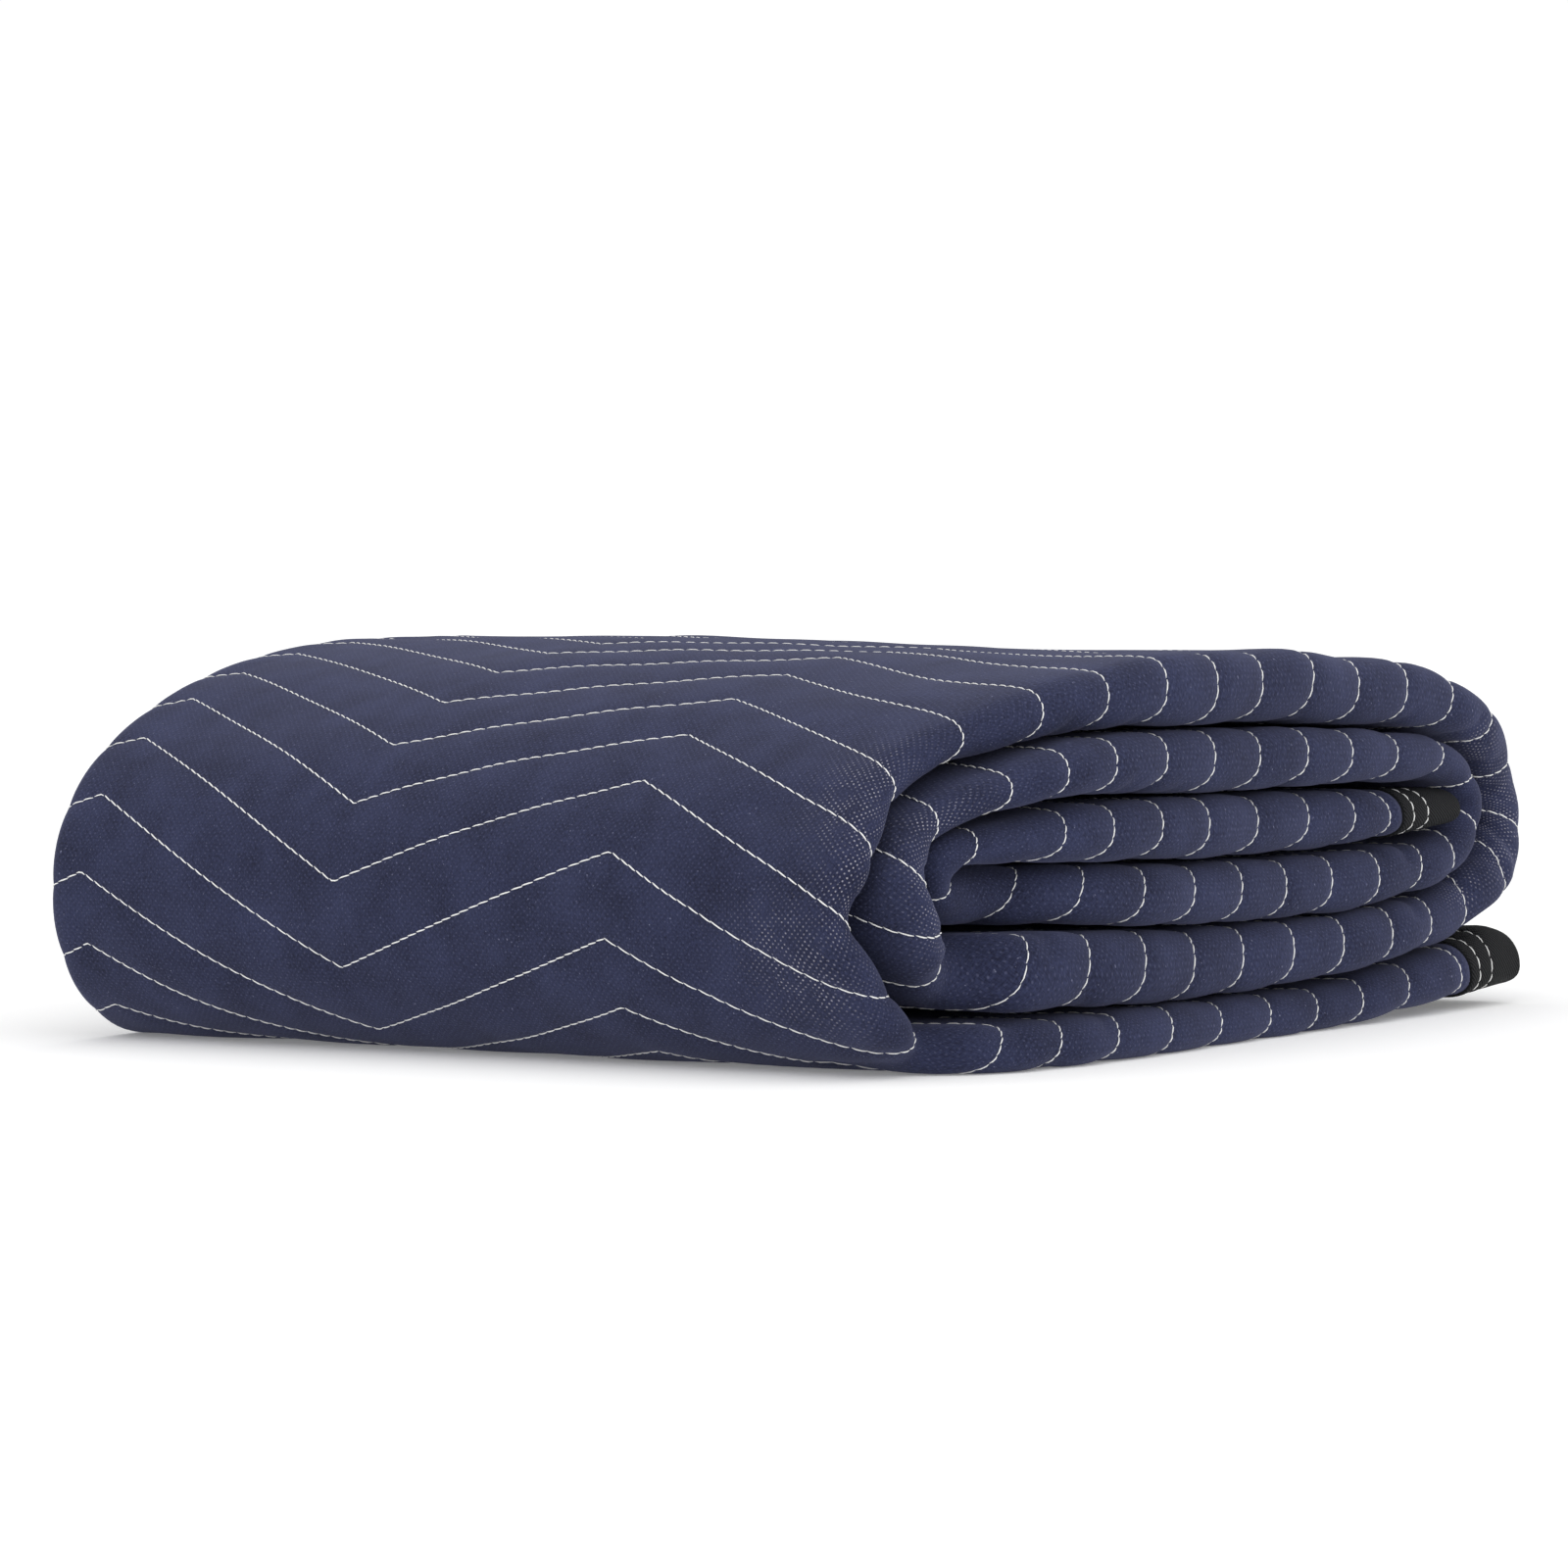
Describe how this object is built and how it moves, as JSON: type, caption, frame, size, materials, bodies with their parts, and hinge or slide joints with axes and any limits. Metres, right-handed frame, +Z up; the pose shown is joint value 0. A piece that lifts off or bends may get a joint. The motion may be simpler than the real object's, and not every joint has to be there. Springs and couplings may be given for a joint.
{
  "type": "folded moving blanket",
  "caption": "Quilted moving blanket with black bound ends, folded into a strip and wound flat into a compact pad for storage.",
  "frame": {"origin": "middle of the base, on the surface that the blanket lies on", "axes": "+X along the wound bands towards their loose outer end, -Y towards the closed folds, +Z up"},
  "size_m": [0.334, 0.3328, 0.1196],
  "materials": {
    "quilted_cotton": "matte quilted nonwoven, navy with white lock stitching",
    "binding_twill": "matte black twill tape"
  },
  "bodies": {
    "root": {"blanket": "quilted_cotton", "binding_outer": "binding_twill", "binding_inner": "binding_twill"}
  },
  "joints": []
}
